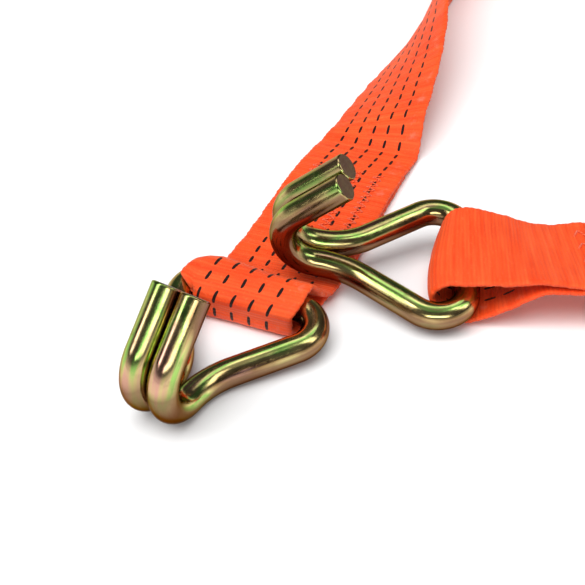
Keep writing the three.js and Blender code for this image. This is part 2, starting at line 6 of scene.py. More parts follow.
import bpy
import numpy as np
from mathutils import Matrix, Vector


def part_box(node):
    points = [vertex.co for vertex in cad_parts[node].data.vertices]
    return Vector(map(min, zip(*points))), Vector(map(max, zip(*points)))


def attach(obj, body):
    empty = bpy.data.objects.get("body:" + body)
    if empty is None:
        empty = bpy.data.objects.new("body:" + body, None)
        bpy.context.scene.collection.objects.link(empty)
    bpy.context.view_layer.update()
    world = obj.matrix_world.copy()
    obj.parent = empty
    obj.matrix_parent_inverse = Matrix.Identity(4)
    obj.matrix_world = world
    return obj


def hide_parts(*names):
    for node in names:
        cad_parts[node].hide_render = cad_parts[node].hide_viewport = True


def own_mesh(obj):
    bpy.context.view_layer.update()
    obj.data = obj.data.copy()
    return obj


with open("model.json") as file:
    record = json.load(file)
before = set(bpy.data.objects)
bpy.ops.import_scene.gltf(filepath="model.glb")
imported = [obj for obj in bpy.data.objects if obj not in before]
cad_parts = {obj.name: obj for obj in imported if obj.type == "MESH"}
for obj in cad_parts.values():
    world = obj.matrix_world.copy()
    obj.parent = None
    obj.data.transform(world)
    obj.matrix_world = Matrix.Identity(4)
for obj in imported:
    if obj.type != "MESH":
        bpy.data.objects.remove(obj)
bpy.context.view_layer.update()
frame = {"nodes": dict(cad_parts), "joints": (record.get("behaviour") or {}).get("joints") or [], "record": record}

# ---- Driving dimensions -----------------------------------------------------------------

MM = 0.001
WEBBING = {"half": 25.0, "thickness": 2.3, "rib": 1.5, "rib_depth": 0.035, "yarn": 0.85}
# Rows of dark dashes along the webbing: how far apart they stand both ways, how wide and
# long half a dash is, and how far the rows wander.
TRACER = {"apart": 7.5, "rows": 5, "half_width": 0.66, "half_length": 2.325, "wander": 1.2}
WIRE = 11.0
# What is left free between pieces that touch, and the step along the straps.
CLEAR = 0.25
STEP = 0.3
# The least distance from a wire's centre to the cloth's middle, and how far round its bar
# each strap keeps to it.
WIRE_GAP = WIRE / 2 + WEBBING["thickness"] / 2 + CLEAR
HELD_OFF = {"long": 45, "short": 40}
# Half of a hook's wire: bar, corner, leg, neck, shank, jaw and tip, as radii, lengths and turns.
HOOK = {
    "half_width": 40, "corner_bend": 12, "neck_at": 48.5, "neck_bend": 32, "shank": 11.5,
    "shank_rise": 8.5, "jaw_bend": 15, "jaw_turn": 132, "tip": 24,
}
FRONT_TURN = {"pitch": -6.4, "roll": -2.5, "yaw": 150}
REAR_TURN = {"pitch": 0, "roll": -10, "yaw": 84.6}

# The long strap's way round the front hook's bar: how far back along the strap, how high
# above the floor, and how far it reaches to the left and to the right of the bar's middle.
LONG_HEADING = 21.5
LONG_EYE = [
    (117, 1.5, 26, 24), (70, 1.5, 26, 24), (32, 1.5, 25.5, 23), (15, 1.5, 24, 21),
    (2, 1.5, 25, 20), (-7.8, 1.5, 24, 18), (-10.6, 3.4, 23.8, 17.4), (-11.0, 7.5, 24.2, 17.2),
    (-11.6, 12.8, 27, 17.8), (-9.2, 15.2, 30, 19), (-4.0, 17.2, 30.5, 20), (1.5, 17.6, 30, 20.5),
    (6.8, 13.8, 29, 21.5), (10.2, 9.0, 28, 22.5), (14.5, 5.6, 27.5, 23.2), (21, 4.1, 27, 23.8),
    (34, 3.9, 26, 24), (70, 3.9, 26, 24), (108, 3.9, 26, 24), (122, 2.9, 25.5, 24.5),
    (134, 1.6, 25, 25),
]
# The cloth keeps its width from the right edge on; only this much at the left bunches up.
LONG_BUNCHED = 11.0
# Past the laps: the distance from the bar, and how far the strap has turned on edge by then.
LONG_TWIST = [
    (96, 0), (104, 0.4), (118, 7), (132, 13.5), (148, 19.5), (200, 39), (262, 72), (300, 88), (318, 90),
]
LONG_LIES = WEBBING["thickness"] / 2 + 0.35
ROLL = {"core": 13.2, "clear": 0.4, "between_turns": 0.1, "uneven": 0.3, "steps_a_turn": 96}
TIE = {"thickness": 1.4, "half": 7.0, "towards": -60, "lifts": 1.8, "lift_spread": 14}

# The short strap's way: (back, height) of its near edge, middle and far edge at each point,
# from the butt joint in the lower layer, round the rear hook's bar, and towards the bolt.
SHORT_EYE = [
    ((110, 14.8), (110, 14.8), (110, 14.8)), ((70, 16.2), (70, 15.6), (70, 15.0)),
    ((40, 18.6), (40, 16.2), (40, 13.6)), ((26, 17.0), (26, 13.8), (26, 12.4)),
    ((14, 8.6), (14, 7.8), (14, 11.0)), ((1, 2.4), (1, 5.8), (1, 11.0)),
    ((-9, 4.6), (-9, 8.2), (-5.3, 13.0)), ((-13.5, 12.0), (-13.2, 14.2), (-7.4, 18.4)),
    ((-9.5, 18.4), (-8.8, 20.0), (-5.3, 23.6)), ((1, 20.4), (1, 22.0), (1, 25.0)),
    ((14, 21.6), (14, 20.8), (14, 21.4)), ((28, 22.8), (28, 19.4), (28, 16.4)),
    ((45, 20.8), (45, 18.6), (45, 16.4)), ((80, 18.2), (80, 17.8), (80, 17.4)),
    ((120, 17.6), (120, 17.5), (120, 17.4)),
]
# Between which distances back from the bar the band turns from the hook's axes to its own,
# and gets back its full width.
SHORT_TURN = {"sideways": (4, 60), "backward": (-8, 12), "narrow": (-14, 30), "narrow_by": 2.5}
# Round the bolt: the loop's radius, where it narrows to the layers, and the butt joint.
BOLT_LOOP = {"radius": 9.7, "tail": 34, "rise": 3, "butt_end": (110.3, 14.8)}
SEAM = {
    "rows": (-15, -5, 5, 15), "swing": 2.2, "pitch": 4.6, "thread": 0.38, "above": 0.05, "arch": 0.32,
    "long": (58, 110), "short": (45, 150),
}
# Each pawl's springs: their direction from the spool, where they start and end along it, and
# how far they stand out on each side and aside.
LOCK_SPRING = {"towards": 195, "from": 40.6, "to": 55.0, "y": 14, "aside": 2.4}
DRIVE_SPRING = {"towards": 160, "from": 49.3, "to": 62.8, "y": 22, "aside": 0}
SPRING = {"radius": 2.6, "wire": 0.42, "turns": 7, "keep": 0.56}
GRIP = {"bore": 5.3, "wave": 1.4, "ring": 0.16, "ring_pitch": 2.4, "shoulder": 0.035, "shoulder_drop": 1.5}
SOFT_EDGE = {"weld": 0.01, "width": 0.35, "segments": 2, "angle": 32}

CAMERA = {"elevation": 38.2, "distance": 423, "lens": 63.6, "aim_from_bar": (12, 14, -11)}
# Softboxes: azimuth from the front, elevation, width and height in metres, and power.
SOFTBOXES = {
    "front_light": (4, 30, (1.3, 0.30), 4.2),
    "left_light": (-72, 44, (0.38, 1.1), 4.4),
    "right_light": (78, 50, (0.34, 1.1), 2.8),
    "back_light": (180, 70, (1.5, 0.45), 2.6),
}
# Also in metres: how far off the softboxes stand, and the floor's radius.
SOFTBOX_DISTANCE = 1.5
FLOOR_RADIUS = 40.0

joints = {joint["name"]: joint for joint in frame["joints"]}
front_bar = np.array(joints["front_hook_swing"]["pos_m"])
rear_bar = np.array(joints["rear_hook_swing"]["pos_m"])
bolt = np.array(joints["buckle_swing"]["pos_m"])
spool = np.array(joints["handle_turn"]["pos_m"])
UP = np.array([0.0, 0.0, 1.0])


# ---- Small tools ------------------------------------------------------------------------

def unit(v):
    return v / np.linalg.norm(v, axis=-1, keepdims=True)


def smooth(t, low, high):
    x = np.clip((t - low) / (high - low), 0, 1)
    return x * x * (3 - 2 * x)


def heading(degrees):
    """The level direction that many degrees east of +Y."""
    return np.array([math.sin(math.radians(degrees)), math.cos(math.radians(degrees)), 0.0])


def right_of(way):
    """The level direction to the right of a level direction."""
    return np.array([way[1], -way[0], 0])


def turned(pitch, roll, yaw):
    """The hook's own axes as columns: roll about Y, then pitch about X, then yaw about Z."""
    p, r, y = (math.radians(a) for a in (pitch, roll, yaw))
    about_z = np.array([[math.cos(y), -math.sin(y), 0], [math.sin(y), math.cos(y), 0], [0, 0, 1]])
    about_x = np.array([[1, 0, 0], [0, math.cos(p), -math.sin(p)], [0, math.sin(p), math.cos(p)]])
    about_y = np.array([[math.cos(r), 0, math.sin(r)], [0, 1, 0], [-math.sin(r), 0, math.cos(r)]])
    return about_z @ about_x @ about_y


def spline(knots, values, at):
    """A natural cubic spline through values at knots, read off at the places asked for."""
    values = np.asarray(values, float).reshape(len(knots), -1)
    h = np.diff(knots)
    n = len(knots)
    matrix = np.zeros((n, n))
    right = np.zeros((n, values.shape[1]))
    matrix[0, 0] = matrix[-1, -1] = 1
    for i in range(1, n - 1):
        matrix[i, i - 1], matrix[i, i], matrix[i, i + 1] = h[i - 1], 2 * (h[i - 1] + h[i]), h[i]
        right[i] = 6 * ((values[i + 1] - values[i]) / h[i] - (values[i] - values[i - 1]) / h[i - 1])
    bend = np.linalg.solve(matrix, right)
    k = np.clip(np.searchsorted(knots, at, side="right") - 1, 0, n - 2)
    a = ((knots[k + 1] - at) / h[k])[:, None]
    b = ((at - knots[k]) / h[k])[:, None]
    step = (h[k] ** 2)[:, None] / 6
    return a * values[k] + b * values[k + 1] + ((a**3 - a) * bend[k] + (b**3 - b) * bend[k + 1]) * step


def chord(points):
    """How far along each point lies on the line through the points."""
    return np.concatenate([[0], np.cumsum(np.linalg.norm(np.diff(points, axis=0), axis=1))])


def resample(points, step):
    """The same line with even steps, every column of points read off together."""
    along = chord(points)
    places = np.linspace(0, along[-1], max(2, int(round(along[-1] / step)) + 1))
    return np.stack([np.interp(places, along, points[:, i]) for i in range(points.shape[1])], axis=1)


def bent_line(corners, radii, step):
    """Straight lines through the corners, with a round bend at each inner one."""
    line = [corners[0]]
    for i, radius in enumerate(radii):
        before, corner, after = corners[i], corners[i + 1], corners[i + 2]
        back, on = unit(before - corner), unit(after - corner)
        half = math.acos(np.clip(back @ on, -1, 1)) / 2
        centre = corner + unit(back + on) * radius / math.sin(half)
        start = corner + back * radius / math.tan(half) - centre
        end = corner + on * radius / math.tan(half) - centre
        sweep = math.pi - 2 * half
        for t in np.linspace(0, 1, max(3, int(radius * sweep / step))):
            spoke = start * math.sin((1 - t) * sweep) + end * math.sin(t * sweep)
            line.append(centre + spoke / math.sin(sweep))
    line.append(corners[-1])
    return resample(np.array(line), step)


def add_object(name, vertices, faces, material, uv=None):
    """A smooth-shaded mesh object, in metres, with its own measure of the surface as UVs."""
    mesh = bpy.data.meshes.new(name)
    mesh.from_pydata([tuple(v) for v in vertices], [], [tuple(int(i) for i in f) for f in faces])
    mesh.polygons.foreach_set("use_smooth", [True] * len(mesh.polygons))
    if uv is not None:
        layer = mesh.uv_layers.new(name="measure")
        corners = np.zeros(len(mesh.loops), np.int32)
        mesh.loops.foreach_get("vertex_index", corners)
        layer.data.foreach_set("uv", np.asarray(uv, np.float32)[corners].ravel())
    mesh.materials.append(material)
    mesh.update()
    piece = bpy.data.objects.new(name, mesh)
    bpy.context.scene.collection.objects.link(piece)
    return piece


def grid_faces(rows, columns, start=0, wrap=False, flip=False):
    """Quads between neighbouring rows and columns of a numbered grid of points."""
    width = columns if wrap else columns - 1
    i, j = np.meshgrid(np.arange(rows - 1), np.arange(width), indexing="ij")
    k = (j + 1) % columns
    quads = np.stack([i * columns + j, i * columns + k, (i + 1) * columns + k, (i + 1) * columns + j], -1)
    quads = quads.reshape(-1, 4) + start
    return quads[:, ::-1] if flip else quads


def carried_normals(points, first):
    """Normals that turn with the line and never twist about it, the first one as near as can be."""
    tangents = unit(np.gradient(points, axis=0))
    normals = [unit(first - tangents[0] * (first @ tangents[0]))]
    for tangent in tangents[1:]:
        last = normals[-1]
        normals.append(unit(last - tangent * (last @ tangent)))
    return np.array(normals)


def tube(name, points, normals, radius, sides, material, chamfer=0.0):
    """A round bar along a line, with the way round and along as UVs. Its ends are cut square
    and are its mesh's last two faces."""
    tangents = unit(np.gradient(points, axis=0))
    sideways = np.cross(tangents, normals)
    along = chord(points)
    angles = np.linspace(0, 2 * math.pi, sides, endpoint=False)
    rings = [(points[0], 0, radius - chamfer), (points[0] + tangents[0] * chamfer, 0, radius)]
    rings += [(points[i], i, radius) for i in range(1, len(points) - 1)]
    rings += [(points[-1] - tangents[-1] * chamfer, -1, radius), (points[-1], -1, radius - chamfer)]
    vertices, uv = [], []
    for centre, i, size in rings:
        for angle in angles:
            spoke = math.cos(angle) * normals[i] + math.sin(angle) * sideways[i]
            vertices.append(centre + size * spoke)
            uv.append((angle / (2 * math.pi), along[i]))
    count = len(rings)
    faces = grid_faces(count, sides, wrap=True).tolist()
    faces.append(list(range(sides))[::-1])
    faces.append([(count - 1) * sides + i for i in range(sides)])
    bar = add_object(name, vertices, faces, material, uv)
    for face in bar.data.polygons[-2:]:
        face.use_smooth = False
    return bar


# ---- Materials --------------------------------------------------------------------------

def fill_ramp(node, stops):
    """Gives a colour ramp its stops, each a place and a colour."""
    elements = node.color_ramp.elements
    while len(elements) < len(stops):
        elements.new(0.5)
    for element, (place, color) in zip(elements, stops):
        element.position = place
        element.color = (*color, 1)


class Nodes:
    """A material whose nodes are added and linked in one call each."""

    def __init__(self, name, **sockets):
        self.material = bpy.data.materials.new(name)
        self.material.use_nodes = True
        self.tree = self.material.node_tree
        self.shader = self.tree.nodes["Principled BSDF"]
        for socket, value in sockets.items():
            self.shader.inputs[socket.replace("_", " ")].default_value = value

    def node(self, kind, settings=None, **inputs):
        """A new node. Inputs go by name, or by i and a number, and are values or links."""
        node = self.tree.nodes.new("ShaderNode" + kind)
        for key, value in (settings or {}).items():
            setattr(node, key, value)
        for key, value in inputs.items():
            socket = node.inputs[int(key[1:]) if key[0] == "i" and key[1:].isdigit() else key]
            if hasattr(value, "is_output"):
                self.tree.links.new(value, socket)
            else:
                socket.default_value = value
        return node

    def math(self, operation, a, b=0.0, c=0.0):
        return self.node("Math", {"operation": operation}, i0=a, i1=b, i2=c).outputs[0]

    def times(self, a, b):
        return self.math("MULTIPLY", a, b)

    def plus(self, a, b):
        return self.math("ADD", a, b)

    def off(self, a, b):
        """How far a is from b."""
        return self.math("ABSOLUTE", self.math("SUBTRACT", a, b))

    def mix(self, share, a, b):
        return self.node("Mix", {"data_type": "RGBA"}, i0=share, i6=a, i7=b).outputs[2]

    def span(self, value, low, high, to_low=0.0, to_high=1.0):
        return self.node("MapRange", None, i0=value, i1=low, i2=high, i3=to_low, i4=to_high).outputs[0]

    def ramp(self, value, stops):
        node = self.node("ValToRGB", None, i0=value)
        fill_ramp(node, stops)
        return node.outputs[0]

    def noise(self, vector, scale, detail=2.0, roughness=0.5):
        inputs = {"Vector": vector, "Scale": scale, "Detail": detail, "Roughness": roughness}
        return self.node("TexNoise", None, **inputs).outputs[0]

    def scaled_noise(self, detail, *places):
        """Noise read at up to three places, each scaled by its own number."""
        scaled = {axis: self.times(place, scale) for axis, (place, scale) in zip("XYZ", places)}
        return self.noise(self.node("CombineXYZ", None, **scaled).outputs[0], 1.0, detail)

    def position(self):
        return self.node("TexCoord").outputs["Object"]

    def split(self, vector):
        return self.node("SeparateXYZ", None, Vector=vector).outputs

    def measure(self):
        """The piece's own measure of its surface: two distances, or a turn and a distance."""
        first, second, _ = self.split(self.node("UVMap", {"uv_map": "measure"}).outputs["UV"])
        return first, second

    def color(self, output):
        self.tree.links.new(output, self.shader.inputs["Base Color"])

    def roughness(self, output):
        self.tree.links.new(output, self.shader.inputs["Roughness"])

    def bump(self, height, depth, strength):
        bump = self.node("Bump", None, Height=height, Distance=depth * MM, Strength=strength)
        self.tree.links.new(bump.outputs[0], self.shader.inputs["Normal"])


# Yellow chromate film, from thin to thick.
CHROMATE = [
    (0.0, (0.36, 0.14, 0.20)), (0.15, (0.72, 0.38, 0.32)), (0.30, (0.46, 0.27, 0.11)),
    (0.44, (0.66, 0.47, 0.20)), (0.56, (0.78, 0.70, 0.27)), (0.68, (0.34, 0.62, 0.14)),
    (0.82, (0.62, 0.52, 0.21)), (1.0, (0.66, 0.36, 0.26)),
]


def wire_zinc():
    """Bent wire: the film's colour runs in bands along the wire and drifts from bend to bend.
    The bands are partly painted highlight: green, the colour of its highlights, on the faces
    up and down in the hook's own frame, brown on its flanks. The side that faces down gets
    painted shade, brown to near black."""
    m = Nodes("yellow_zinc_wire", Metallic=1.0, Roughness=0.16, Specular_Tint=(0.45, 0.34, 0.28, 1.0))
    around, along = m.measure()
    turn = m.times(around, 2 * math.pi)
    position = m.position()
    drift = m.noise(position, 26.0, 2.0)
    streak = m.scaled_noise(3.0, (m.math("COSINE", turn), 2.24), (along, 22.4), (m.math("SINE", turn), 1.6))
    # Partly painted highlight: the band round the wire is green, its highlights' colour, on the faces up and down
    # in the hook's own frame and brown on its flanks; the noise added next is the film's own drift.
    film_and_painted_highlight = m.math("MULTIPLY_ADD", m.math("COSINE", m.times(turn, 2.0)), 0.17, 0.50)
    film_and_painted_highlight = m.plus(film_and_painted_highlight, m.span(drift, 0.3, 0.7, -0.32, 0.32))
    film_and_painted_highlight = m.plus(film_and_painted_highlight, m.span(streak, 0.3, 0.7, -0.22, 0.22))
    color = m.ramp(film_and_painted_highlight, CHROMATE)
    grime = m.noise(position, 240.0, 4.0, 0.6)
    color = m.mix(m.span(grime, 0.52, 0.78, 0.0, 0.35), color, (0.13, 0.08, 0.045, 1))
    # Painted shade: the lower a face points, the darker brown it is painted, down to near black.
    _, _, facing_up_for_shade = m.split(m.node("TexCoord").outputs["Normal"])
    facing_up_for_shade = m.plus(facing_up_for_shade, m.span(drift, 0.3, 0.7, -0.3, 0.3))
    color = m.mix(m.span(facing_up_for_shade, 0.54, 0.20, 0.0, 0.85), color, (0.21, 0.115, 0.070, 1))
    m.color(m.mix(m.span(facing_up_for_shade, 0.10, -0.45, 0.0, 0.75), color, (0.11, 0.045, 0.030, 1)))
    m.roughness(m.span(grime, 0.3, 0.8, 0.10, 0.30))
    m.bump(m.scaled_noise(4.0, (around, 60.0), (along, 90.0)), 0.04, 0.5)
    return m.material


def sheet_zinc():
    """Pressed steel in yellow chromate: larger patches of the same film, and rubbed edges."""
    m = Nodes("yellow_zinc_sheet", Metallic=0.72, Roughness=0.3)
    position = m.position()
    drift = m.noise(position, 22.0, 3.0, 0.55)
    fine = m.noise(position, 380.0, 4.0, 0.6)
    color = m.ramp(m.span(drift, 0.28, 0.72, 0.12, 0.9), CHROMATE)
    color = m.mix(0.35, color, (0.60, 0.52, 0.25, 1))
    color = m.mix(m.span(fine, 0.58, 0.85, 0.0, 0.16), color, (0.20, 0.15, 0.07, 1))
    edge = m.span(m.node("NewGeometry").outputs["Pointiness"], 0.515, 0.56)
    m.color(m.mix(m.times(edge, 0.6), color, (0.66, 0.64, 0.58, 1)))
    m.roughness(m.span(fine, 0.3, 0.8, 0.24, 0.42))
    m.bump(fine, 0.04, 0.4)
    return m.material


def cut_end():
    """The wire's sheared ends: a duller, browner film over the shear marks."""
    m = Nodes("yellow_zinc_cut_end", Metallic=0.8, Roughness=0.5)
    position = m.position()
    x, y, z = m.split(position)
    marks = m.scaled_noise(3.0, (x, 300.0), (y, 300.0), (z, 1500.0))
    patch = m.noise(position, 260.0, 3.0, 0.6)
    color = m.mix(m.span(patch, 0.35, 0.7), (0.13, 0.055, 0.022, 1), (0.17, 0.10, 0.035, 1))
    m.color(m.mix(m.span(marks, 0.5, 0.75, 0.0, 0.6), color, (0.10, 0.055, 0.03, 1)))
    m.bump(marks, 0.2, 0.6)
    return m.material


def plain_steel(name, tint, low, high, grain):
    """Bright zinc or bare steel, with turning marks and a little tarnish."""
    m = Nodes(name, Metallic=1.0, Roughness=0.3)
    position = m.position()
    x, y, z = m.split(position)
    lines = m.scaled_noise(3.0, (x, 60.0), (y, grain), (z, 60.0))
    tarnish = m.noise(position, 90.0, 3.0, 0.6)
    color = m.mix(m.span(tarnish, 0.45, 0.75, 0.0, 0.5), (*tint, 1), (*(c * 0.55 for c in tint), 1))
    m.color(m.mix(m.span(lines, 0.4, 0.7, 0.0, 0.25), color, (*(c * 0.75 for c in tint), 1)))
    m.roughness(m.span(lines, 0.3, 0.7, low, high))
    m.bump(lines, 0.05, 0.4)
    return m.material


def tracer_dashes(m, across, along, position):
    """Where the dark oval dashes are, in rows that wander a little across the webbing."""
    apart, rows = TRACER["apart"] * MM, TRACER["rows"]
    first_gap = WEBBING["half"] * MM - rows / 2 * apart
    wander = m.times(m.math("SUBTRACT", m.noise(position, 60.0, 1.0), 0.5), TRACER["wander"] * MM)
    row = m.math("SUBTRACT", m.plus(across, wander), first_gap)
    off_row = m.off(m.math("FRACT", m.math("DIVIDE", row, apart)), 0.5)
    off_beat = m.off(m.math("FRACT", m.math("DIVIDE", along, apart)), 0.5)
    slim = m.math("POWER", m.math("DIVIDE", off_row, TRACER["half_width"] / TRACER["apart"]), 2.0)
    long = m.math("POWER", m.math("DIVIDE", off_beat, TRACER["half_length"] / TRACER["apart"]), 4.0)
    in_dash = m.span(m.plus(slim, long), 1.15, 0.85)
    inside = m.math("LESS_THAN", m.off(across, WEBBING["half"] * MM), rows / 2 * apart)
    return m.times(in_dash, inside)


def webbing_cloth():
    """Polyester webbing: cross ribs, fine warp yarns, and five rows of dashes on one face."""
    m = Nodes("orange_webbing", Roughness=0.62, Sheen_Weight=0.18, Sheen_Roughness=0.45,
              Sheen_Tint=(1.0, 0.50, 0.32, 1.0), Specular_IOR_Level=0.35)
    across, along = m.measure()
    position = m.position()
    rib = m.math("COSINE", m.times(along, 2 * math.pi / (WEBBING["rib"] * MM)))
    yarn = m.math("COSINE", m.times(across, 2 * math.pi / (WEBBING["yarn"] * MM)))
    fuzz = m.noise(position, 900.0, 3.0, 0.6)
    patch = m.noise(position, 55.0, 3.0, 0.6)
    pick = m.scaled_noise(2.0, (across, 30.0), (along, 420.0))
    color = m.mix(m.span(patch, 0.3, 0.7), (0.86, 0.070, 0.008, 1), (0.72, 0.048, 0.007, 1))
    color = m.mix(m.span(pick, 0.35, 0.75, 0.0, 0.55), color, (1.0, 0.15, 0.035, 1))
    # Painted shade: the troughs between the cross ribs are darker.
    color = m.mix(m.span(rib, 0.2, -1.0, 0.0, 0.25), color, (0.60, 0.035, 0.006, 1))
    color = m.mix(m.span(fuzz, 0.55, 0.8, 0.0, 0.25), color, (1.0, 0.30, 0.12, 1))
    color = m.mix(tracer_dashes(m, across, along, position), color, (0.006, 0.003, 0.003, 1))
    # Paler patches run beside the traced face's right edge.
    beside = m.span(m.off(across, 45.5 * MM), 3.5 * MM, 1.0 * MM)
    pale_patches = m.times(beside, m.span(m.noise(position, 130.0, 4.0, 0.7), 0.54, 0.70, 0.0, 0.3))
    m.color(m.mix(pale_patches, color, (0.72, 0.33, 0.24, 1)))
    weave = m.plus(m.times(rib, 0.45), m.times(yarn, 0.3))
    m.bump(m.plus(weave, m.times(fuzz, 0.5)), 0.09, 0.6)
    m.roughness(m.span(fuzz, 0.3, 0.8, 0.5, 0.75))
    return m.material


def thread():
    """Twisted sewing thread."""
    m = Nodes("orange_thread", Roughness=0.5, Sheen_Weight=0.3)
    around, along = m.measure()
    twist = m.math("SINE", m.plus(m.times(around, 4 * math.pi), m.times(along, 9000.0)))
    m.color(m.mix(m.span(twist, -1.0, 1.0), (0.62, 0.040, 0.008, 1), (0.98, 0.15, 0.035, 1)))
    m.bump(twist, 0.08, 0.7)
    return m.material


def elastic():
    """Woven elastic: rubber cords along it, and fine weft across it."""
    m = Nodes("black_elastic", Roughness=0.75, Sheen_Weight=0.3)
    across, along = m.measure()
    cord = m.math("COSINE", m.times(across, 2 * math.pi / (1.2 * MM)))
    pick = m.math("COSINE", m.times(along, 2 * math.pi / (0.9 * MM)))
    both = m.times(m.plus(cord, pick), 0.25)
    m.color(m.mix(m.span(both, -0.5, 0.5), (0.012, 0.012, 0.013, 1), (0.055, 0.055, 0.058, 1)))
    m.bump(both, 0.2, 0.8)
    return m.material


def grip_plastic():
    """Moulded plastic with a fine grain, worn paler in places."""
    m = Nodes("black_grip", Roughness=0.5)
    position = m.position()
    grain = m.noise(position, 1400.0, 3.0, 0.6)
    wear = m.noise(position, 60.0, 3.0, 0.6)
    m.color(m.mix(m.span(wear, 0.4, 0.75), (0.018, 0.018, 0.020, 1), (0.050, 0.049, 0.050, 1)))
    m.roughness(m.span(grain, 0.3, 0.7, 0.42, 0.62))
    m.bump(grain, 0.10, 0.6)
    return m.material


def plain_floor():
    m = Nodes("studio_floor", Roughness=0.55, Specular_IOR_Level=0.2)
    shade = m.noise(m.position(), 3.0, 2.0)
    m.color(m.mix(shade, (0.90, 0.90, 0.90, 1), (0.92, 0.92, 0.92, 1)))
    return m.material


YELLOW_WIRE = wire_zinc()
CUT_END = cut_end()
YELLOW_SHEET = sheet_zinc()
BRIGHT_ZINC = plain_steel("bright_zinc", (0.66, 0.67, 0.69), 0.2, 0.4, 1500.0)
SPRING_STEEL = plain_steel("spring_steel", (0.42, 0.43, 0.46), 0.25, 0.45, 300.0)
WEBBING_CLOTH = webbing_cloth()
THREAD = thread()
ELASTIC = elastic()
GRIP_PLASTIC = grip_plastic()


# ---- Claw hooks -------------------------------------------------------------------------

def half_hook():
    """One half of the wire, from the middle of the bar to the tip, in the hook's own axes."""
    rise, jaw_turn = math.radians(HOOK["shank_rise"]), math.radians(HOOK["jaw_turn"])
    out = np.array([0, math.cos(rise), math.sin(rise)])
    up = np.array([0, -math.sin(rise), math.cos(rise)])
    tip_way = out * math.cos(jaw_turn) + up * math.sin(jaw_turn)
    reach = HOOK["jaw_bend"] * math.tan(jaw_turn / 2)
    corner = np.array([HOOK["half_width"], 0, 0])
    neck = np.array([WIRE / 2 + 0.2, HOOK["neck_at"], 0])
    jaw = neck + out * (HOOK["shank"] + reach)
    end = jaw + tip_way * (reach + HOOK["tip"])
    corners = [np.zeros(3), corner, neck, jaw, end]
    return bent_line(corners, [HOOK["corner_bend"], HOOK["neck_bend"], HOOK["jaw_bend"]], 0.9)


def hook_wire(bar, turn):
    """The whole wire's centreline and normals in the object's frame."""
    axes = turned(**turn)
    half = half_hook()
    normals = carried_normals(half, UP)
    mirror = np.array([-1, 1, 1])
    line = np.concatenate([(half * mirror)[:0:-1], half])
    normals = np.concatenate([(normals * mirror)[:0:-1], normals])
    return bar + (line * MM) @ axes.T, normals @ axes.T


def claw_hook(name, bar, turn):
    """One hook, with duller cut ends. Returns its centreline."""
    line, normals = hook_wire(bar, turn)
    hook = tube(name + "_wire", line, normals, WIRE / 2 * MM, 48, YELLOW_WIRE, chamfer=0.45 * MM)
    hook.data.materials.append(CUT_END)
    for face in hook.data.polygons[-2:]:
        face.material_index = 1
    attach(hook, name)
    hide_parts(name)
    return line


# ---- Webbing ----------------------------------------------------------------------------

# Where the cloth's columns of points stand across it, and its share of full thickness there.
SPREAD = np.array([-1, -0.985, -0.955, -0.9, -0.8, -0.62, -0.42, -0.21, 0,
                   0.21, 0.42, 0.62, 0.8, 0.9, 0.955, 0.985, 1])
PLUMP = np.interp(np.abs(SPREAD), [0, 0.9, 0.955, 0.985, 1], [1, 1, 0.93, 0.68, 0.3])


def held_off(grid, line):
    """Moves the cloth's points out to its gap from a wire, and eases the cloth round them."""
    kernel = np.exp(-np.linspace(-2, 2, 21) ** 2)
    kernel /= kernel.sum()

    def pushed(moved):
        points = (grid + moved).reshape(-1, 3)
        away = points[:, None, :] - line[None, :, :]
        distance = np.linalg.norm(away, axis=2)
        index = np.arange(len(points)), distance.argmin(axis=1)
        push = np.clip(WIRE_GAP * MM - distance[index], 0, None)[:, None] * unit(away[index] + 1e-9)
        return moved + push.reshape(grid.shape)

    moved = np.zeros_like(grid)
    for _ in range(3):
        moved = np.apply_along_axis(lambda c: np.convolve(c, kernel, "same"), 0, pushed(moved))
    return grid + pushed(moved)


def cloth_normals(grid):
    across = np.gradient(grid, axis=1)
    along = np.gradient(grid, axis=0)
    return unit(np.cross(across, along))


def lively(grid, along):
    """Slow waves in the cloth and small scallops along its woven edges."""
    s = along[:, None] / MM
    edge = smooth(np.abs(SPREAD), 0.78, 1.0)
    side = np.sign(SPREAD)
    wave = 0.12 * np.sin(s / 2.9 + 1.5 * side + 2 * np.sin(s / 31)) + 0.05 * np.sin(s / 1.37 + 2.2 * SPREAD)
    ripple = edge * (0.20 * np.sin(s / 3.1 + 2.6 * side + np.sin(s / 11)) + 0.08 * np.sin(s / 1.21))
    scallop = edge * (0.11 * np.sin(s / 0.47 + side) + 0.08 * np.sin(s / 0.93 + 2 * side))
    sideways = unit(np.gradient(grid, axis=1))
    waved = grid + cloth_normals(grid) * ((wave + ripple) * MM)[..., None]
    return waved + sideways * (side * scallop * MM)[..., None]


